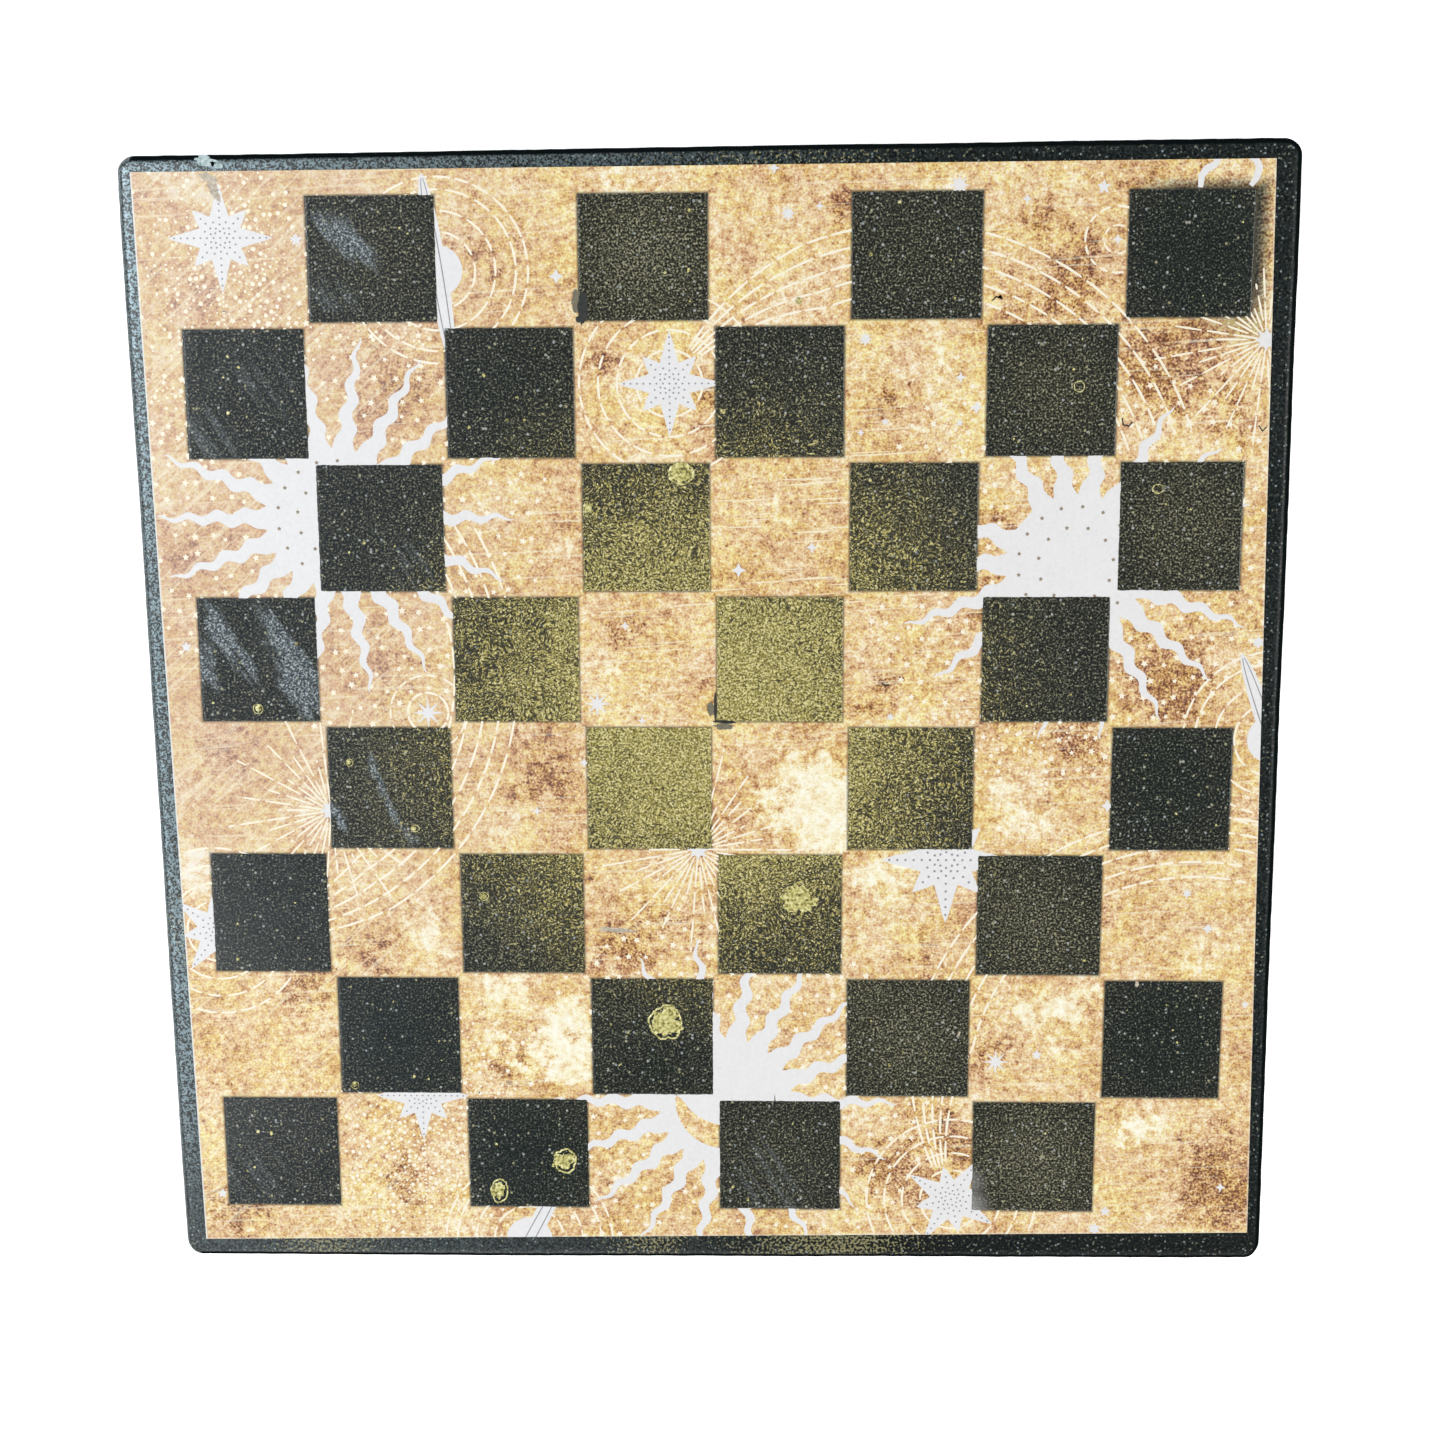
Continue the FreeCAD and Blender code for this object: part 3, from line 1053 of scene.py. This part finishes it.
# Small stars: centre, radius, points, waist
SMALL_STARS = (
    ((2.86, 7.345), 0.056, 4, 0.45), ((4.56, 7.78), 0.055, 8, 0.5), ((4.79, 7.83), 0.034, 4, 0.4),
    ((5.13, 6.88), 0.055, 8, 0.45), ((5.83, 6.6), 0.042, 4, 0.4), ((5.95, 6.38), 0.045, 4, 0.5),
    ((5.83, 6.27), 0.03, 5, 0.5), ((6.84, 7.95), 0.055, 5, 0.45), ((6.95, 7.58), 0.04, 4, 0.4),
    ((6.29, 7.87), 0.035, 4, 0.45), ((5.8, 7.97), 0.075, 8, 0.45), ((4.19, 5.18), 0.056, 4, 0.45),
    ((4.74, 5.35), 0.045, 4, 0.4), ((3.33, 4.76), 0.036, 4, 0.4), ((3.0, 3.7), 0.04, 4, 0.4),
    ((2.63, 3.32), 0.036, 4, 0.4), ((3.45, 4.03), 0.034, 4, 0.4), ((5.34, 4.06), 0.036, 8, 0.4),
    ((4.46, 8.1), 0.045, 4, 0.4), ((7.63, 2.68), 0.04, 6, 0.5), ((7.8, 2.4), 0.042, 4, 0.5),
    ((7.98, 0.28), 0.04, 4, 0.45), ((7.08, 0.07), 0.045, 5, 0.5), ((8.11, 1.79), 0.035, 4, 0.45),
    ((-0.03, 4.6), 0.045, 5, 0.5), ((0.02, 0.16), 0.045, 5, 0.5), ((7.0, -0.08), 0.05, 6, 0.6),
    ((7.0, 3.37), 0.05, 4, 0.5), ((6.51, 1.37), 0.045, 5, 0.5), ((8.09, 4.63), 0.05, 6, 0.6),
    ((0.95, 7.62), 0.05, 5, 0.5), ((5.1, 6.2), 0.03, 4, 0.4), ((5.28, 6.28), 0.03, 5, 0.5),
    ((1.81, 4.09), 0.12, 8, 0.3), ((3.11, 4.16), 0.105, 8, 0.3), ((6.19, 1.31), 0.105, 8, 0.3),
)
# Two ray ends of a sun that lies beyond the card's top edge
FAR_RAYS = (
    ((7.53, 7.94), (7.535, 8.02), (7.57, 8.07), (7.63, 8.10), (7.66, 8.16)),
    ((7.87, 8.16), (7.92, 8.13), (7.945, 8.08), (7.93, 8.01), (7.89, 7.95)),
)
# Clouds of dots: centre, reach, how many
DUST_CLOUDS = (
    ((0.42, 7.4), 0.66, 420), ((1.6, 0.45), 0.66, 420), ((2.15, 1.3), 0.45, 110), ((0.1, 6.5), 0.45, 80),
    ((6.3, 3.8), 0.5, 80), ((1.6, 7.2), 0.45, 60),
)
# Straight rows of dots, from one end to the other
DOTTED_TRAILS = (
    ((1.67, 0.62), (1.67, -0.2)), ((0.75, 1.03), (1.32, 1.03)), ((2.02, 1.03), (2.4, 1.03)),
    ((0.39, 7.24), (0.39, 6.98)),
)
DUST_SPACING = 0.035        # least distance between two dots of a cloud
ROW_SPACING = 0.033         # between the dots of a straight row
# Dashed rings round two of the small stars: centre, radius, width, dash, gap
SMALL_RINGS = (
    ((1.81, 4.09), 0.155, 0.02, 0.15, 0.012), ((1.81, 4.09), 0.29, 0.016, 0.1, DASH_GAP),
    ((6.95, 7.58), 0.1, 0.015, 0.08, DASH_GAP), ((6.95, 7.58), 0.235, 0.018, 0.1, DASH_GAP),
)
# Marks of making and wear, each a blob: centre, across, along, turn in degrees, raggedness, seed
THIN_CREEP = (
    ((3.005, 7.16), 0.035, 0.08, 0.0, 0.3, 2.0), ((3.975, 4.12), 0.03, 0.055, 8.0, 0.3, 4.0),
    ((4.075, 3.985), 0.08, 0.022, -4.0, 0.4, 6.0),
)
CREEP = (
    ((3.055, 7.12), 0.04, 0.105, 0.0, 0.3, 6.0), ((3.03, 7.035), 0.035, 0.022, 0.0, 0.3, 8.0),
    ((4.01, 4.14), 0.01, 0.11, 0.0, 0.3, 12.0), ((4.085, 4.022), 0.085, 0.012, -3.0, 0.3, 14.0),
)
GREY_SMEARS = (
    ((0.33, 8.06), 0.07, 0.03, -25.0, 0.6, 1.0), ((0.36, 7.98), 0.035, 0.07, 20.0, 0.6, 3.0),
    ((3.22, 2.37), 0.16, 0.018, -2.0, 0.7, 5.0),
)
PALE_FLECK = ((7.27, 1.955), 0.016, 0.024, 0.0, 0.5, 5.0, 16)
CHIPS = (((0.31, 8.182), 0.080, 0.036, -12.0, 0.5, 2.0), ((0.39, 8.155), 0.045, 0.022, -12.0, 0.5, 7.0))
# Short cracks in the varnish beside the squares, and one pale scratch, as points along each
CRACKS = (
    ((6.05, 7.15), (6.08, 7.18), (6.13, 7.16), (6.11, 7.19)),
    ((7.02, 6.30), (7.03, 6.25), (7.07, 6.24), (7.10, 6.27)),
    ((8.02, 6.24), (8.05, 6.20), (8.08, 6.23)),
    ((5.27, 4.32), (5.30, 4.30), (5.33, 4.31)),
)
PALE_SCRATCH = ((5.885, 1.515), (5.90, 1.535), (5.91, 1.56))

# The inks, each in two shades that it is mottled with
INKS = {
    "white": (rgb(236, 235, 236), rgb(229, 228, 229)),
    "cream": (rgb(252, 246, 228), rgb(250, 238, 208)),
    "grey": (rgb(160, 160, 164), rgb(144, 144, 148)),
    "tan": (rgb(158, 146, 126), rgb(140, 128, 108)),
}
# Each kind of print: its ink, and its height above the card in mm. Kinds that can overlap differ in height.
PRINTS = {
    "print_suns": ("white", 0.021),
    "print_star_faces": ("white", 0.024),
    "print_star_dots": ("grey", 0.030),
    "print_sun_dots": ("tan", 0.030),
    "print_crescent": ("card", 0.027),
    "print_comet_trails": ("cream", 0.015),
    "print_comet_head_rings": ("cream", 0.0135),
    "print_starbursts": ("cream", 0.018),
    "print_starburst_cores": ("white", 0.024),
    "print_far_sun_rays": ("white", 0.021),
    "print_planets": ("white", 0.024),
    "print_planet_rings": ("white", 0.021),
    "print_planet_ring_lines": ("grey", 0.030),
    "print_orbits": ("cream", 0.012),
    "print_small_stars": ("white", 0.026),
    "print_star_dust": ("cream", 0.010),
}
MARK_HEIGHT = 0.034 * MM    # of smears and cracks above the card
THIN_CREEP_HEIGHT = 0.04 * MM
OVER_PAINT = PAINT_TOP - CARD_TOP + 0.02 * MM


def suns_and_stars():
    """What needs no random draws, as outlines by the name of the print."""
    return {
        "print_suns": [shape for sun_place in zip(SUNS, MISSING_RAYS) for shape in sun(*sun_place)],
        "print_star_faces": [eight_point_star(*star) for star in STARS],
        "print_star_dots": [dot for star in STARS for dot in star_dots(*star)],
        "print_sun_dots": [dot for centre in DOTTED_SUNS for dot in sun_dots(centre)],
        "print_crescent": [crescent(HORNED_SUN)],
        "print_far_sun_rays": [stroke(points, 0.055) for points in FAR_RAYS],
        "print_small_stars": [pointed_star(*star, 90) for star in SMALL_STARS],
    }


def comets(rng):
    lines = []
    rings = []
    for head, turn, mirrored in COMETS:
        lines += comet_trail(head, turn, rng, mirrored)
        rings += head_rings(head, rng)
    return {"print_comet_trails": lines, "print_comet_head_rings": rings}


def under_overspray(point):
    """True where the black paint that drifted past square h8 hides the print."""
    return point[0] > 7.9 and point[1] > 7.25


def starbursts(rng):
    lines = []
    for centre in STARBURSTS:
        lines += [line for line in starburst(centre, rng) if not under_overspray(line[0])]
    cores = [pointed_star(centre, 0.085, 8, 0.6) for centre in STARBURSTS]
    return {"print_starbursts": lines, "print_starburst_cores": cores}


def planets(rng):
    """Planets, their rings, and the dashed orbits round them and round two small stars."""
    along, across = PLANET_RING
    rims = []
    orbits = []
    for centre, turn in PLANETS:
        for half in ((8, 172), (188, 352)):
            rims.append(stroke(ellipse(centre, 0.96 * along, 0.5 * across, turn, *half), 0.009))
        for radius in PLANET_ORBITS:
            orbits += ring(centre, radius, 0.018, rng, first=turn + 10)
    for centre, radius, width, dash, gap in SMALL_RINGS:
        orbits += ring(centre, radius, width, rng, dash=dash, gap=gap)
    return {
        "print_planets": [disc(centre, PLANET_RADIUS, 36) for centre, _ in PLANETS],
        "print_planet_rings": [ellipse(centre, along, across, turn)[:-1] for centre, turn in PLANETS],
        "print_planet_ring_lines": rims,
        "print_orbits": orbits,
    }


def star_dust(rng):
    """Tiny stars round the suns, clouds of dots, and straight rows of dots."""
    specks = []
    for centre in SUNS:
        for spot in scatter(rng, centre, 1.62, 0.145, 0.6):
            specks.append(pointed_star(spot, 0.026 * rng.uniform(0.8, 1.2), 5, 0.5, rng.uniform(0, 72)))
    for (x, y), reach, count in DUST_CLOUDS:
        dots = []
        while len(dots) < count:
            spot = (x + rng.gauss(0, 0.5) * reach, y + rng.gauss(0, 0.5) * reach)
            if all(math.dist(spot, dot) > DUST_SPACING for dot in dots):
                dots.append(spot)
        specks += [disc(spot, rng.choice((0.007, 0.009, 0.012, 0.017)), 7) for spot in dots]
    for (x, y), (to_x, to_y) in DOTTED_TRAILS:
        steps = round(math.hypot(to_x - x, to_y - y) / ROW_SPACING)
        for k in range(steps):
            specks.append(disc((x + (to_x - x) * k / steps, y + (to_y - y) * k / steps), 0.0085, 7))
    return {"print_star_dust": specks}


def make_prints(card):
    """Everything printed on the card. The crescent is a gap in a sun, so it shows the card's own print."""
    inks = {name: ink_material(f"ink_{name}", *shades) for name, shades in INKS.items()}
    inks["card"] = card
    rng = random.Random(11)
    outlines = {**suns_and_stars(), **comets(rng), **starbursts(rng), **planets(rng), **star_dust(rng)}
    for name, (ink, height) in PRINTS.items():
        print_piece(name, outlines[name], height * MM, inks[ink])


def make_marks():
    """Paint that crept under the stencil, a chipped corner, grey smears, cracks and pale flecks."""
    soot = blot_material("creep_paint", rgb(28, 32, 33), rgb(62, 64, 62))
    smoke = blot_material("thin_creep_paint", rgb(102, 96, 82), rgb(140, 132, 112))
    chip = blot_material("chipped_paint", rgb(118, 148, 152), rgb(206, 220, 220), 34.0)
    smear = blot_material("grey_smear", rgb(158, 148, 134), rgb(216, 204, 184), 40.0)
    thin_creep = [blob(*mark) for mark in THIN_CREEP]
    print_piece("stencil_creep_thin", thin_creep, THIN_CREEP_HEIGHT, smoke)
    print_piece("stencil_creep", [blob(*mark) for mark in CREEP], OVER_PAINT, soot)
    print_piece("grey_smears", [blob(*mark) for mark in GREY_SMEARS], MARK_HEIGHT, smear)
    print_piece("varnish_cracks", [stroke(points, 0.014) for points in CRACKS], MARK_HEIGHT, soot)
    print_piece("pale_flecks", [stroke(PALE_SCRATCH, 0.018), blob(*PALE_FLECK)], OVER_PAINT, smear)
    mesh = bmesh.new()
    for mark in CHIPS:
        add_prism(mesh, places(blob(*mark)), PANEL_TOP - 0.1 * MM, PANEL_TOP + 0.05 * MM)
    add_piece("chipped_corner_paint", mesh, chip)


def make_splashes(material):
    """Specks of pale gold on the dark squares, a few to each."""
    rng = random.Random(29)
    mesh = bmesh.new()
    for square in dark_squares():
        x, y = FILES.index(square[0]), int(square[1]) - 1
        for _ in range(rng.randint(3, 7)):
            centre = (x + rng.uniform(0.12, 0.88), y + rng.uniform(0.12, 0.88))
            size = rng.choice((0.005, 0.006, 0.008, 0.012))
            speck = blob(centre, size, size * rng.uniform(0.7, 1.3), 0, 0.5, rng.uniform(0, 99), 12)
            add_prism(mesh, places(speck), PAINT_TOP - 0.03 * MM, PAINT_TOP + 0.02 * MM)
    add_piece("gold_specks", mesh, material)


# ---------------------------------------------------------------- stage, lights and camera

def facing(eye, target, upward):
    """The matrix of a camera or lamp at eye that faces target, with upward at the top of its view."""
    back = (eye - target).normalized()
    right = upward.cross(back).normalized()
    turned = Matrix((right, back.cross(right), back)).transposed().to_4x4()
    return Matrix.Translation(eye) @ turned


def add_lamp(name, eye, target, size, power, colour):
    data = bpy.data.lights.new(name, "AREA")
    data.shape = "RECTANGLE"
    data.size, data.size_y = size
    data.energy = power
    data.color = colour
    lamp = bpy.data.objects.new(name, data)
    lamp.matrix_world = facing(Vector(eye), Vector(target), Vector((0, 0, 1)))
    bpy.context.scene.collection.objects.link(lamp)


# A window on the left, whose gloss catches the left border, and soft fill from elsewhere.
# Each lamp: name, place, the point it faces, size, power in watts, colour
LAMPS = (
    ("window", (-0.66, 0.26, 0.80), (-0.02, 0.05, 0), (0.50, 0.55), 7.2, (0.91, 0.96, 1.0)),
    ("low_window", (-0.66, -0.32, 0.80), (-0.02, -0.05, 0), (0.50, 0.55), 3.5, (0.93, 0.97, 1.0)),
    ("right_fill", (1.15, -0.05, 0.95), (0, 0, 0), (0.6, 0.8), 17.0, (1.0, 0.98, 0.95)),
    ("front_fill", (0.1, -1.35, 0.95), (0, 0, 0), (1.6, 0.9), 14.0, (1.0, 0.99, 0.97)),
    ("back_fill", (0.1, 1.35, 1.25), (0, 0, 0), (1.8, 1.0), 8.0, (1.0, 0.99, 0.97)),
)
WORLD_STRENGTH = 0.12


def make_lights():
    for lamp in LAMPS:
        add_lamp(*lamp)
    world = bpy.data.worlds.new("studio")
    world.use_nodes = True
    background = world.node_tree.nodes["Background"]
    background.inputs["Color"].default_value = (1, 1, 1, 1)
    background.inputs["Strength"].default_value = WORLD_STRENGTH
    bpy.context.scene.world = world


FLOOR_REACH = 7.0           # radius of the level part of the floor
COVE_RADIUS = 3.0           # of the bend between the floor and the wall round it
WALL_HEIGHT = 3.4


def make_floor():
    """A plain floor that bends up into a plain low wall far away, so that low views show no horizon."""
    steps = 8
    sides = 72
    profile = [(FLOOR_REACH / 2, 0.0)]
    for k in range(steps + 1):
        angle = math.pi / 2 * k / steps
        profile.append((FLOOR_REACH + COVE_RADIUS * math.sin(angle), COVE_RADIUS * (1 - math.cos(angle))))
    profile.append((FLOOR_REACH + COVE_RADIUS, WALL_HEIGHT))
    mesh = bmesh.new()
    loops = []
    for radius, height in profile:
        loops.append([mesh.verts.new((*p, height)) for p in disc((0, 0), radius, sides)])
    mesh.faces.new(loops[0])
    for inner, outer in zip(loops, loops[1:]):
        bridge(mesh, outer, inner, True)
    floor = add_object("floor", mesh, floor_material())
    floor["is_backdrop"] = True


CAMERA_EYE = Vector((0.02205, 0.1045, PAINT_TOP + 0.5452))
CAMERA_TARGET = Vector((0.00325, 0.0026, PAINT_TOP))
CAMERA_UPWARD = Vector((0.012, 1, 0))
CAMERA_LENS = 49.43         # focal length in mm, behind a frame 36 mm wide


def make_camera():
    """Looks down on the playing face from above its far half."""
    data = bpy.data.cameras.new("camera")
    data.sensor_width = 36.0
    data.lens = CAMERA_LENS
    camera = bpy.data.objects.new("camera", data)
    camera.matrix_world = facing(CAMERA_EYE, CAMERA_TARGET, CAMERA_UPWARD)
    bpy.context.scene.collection.objects.link(camera)
    bpy.context.scene.camera = camera


def main():
    bpy.context.scene.view_settings.view_transform = "Standard"
    card = card_material()
    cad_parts["printed_card"].data.materials[0] = card
    gold = gold_material()
    make_panel(panel_material())
    make_paint_patches(square_material())
    make_gold_drops(gold)
    make_splashes(gold)
    make_prints(card)
    make_marks()
    make_floor()
    make_lights()
    make_camera()
    box = [[list(corner) for corner in found] for found in (CAD_BOX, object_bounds())]


main()
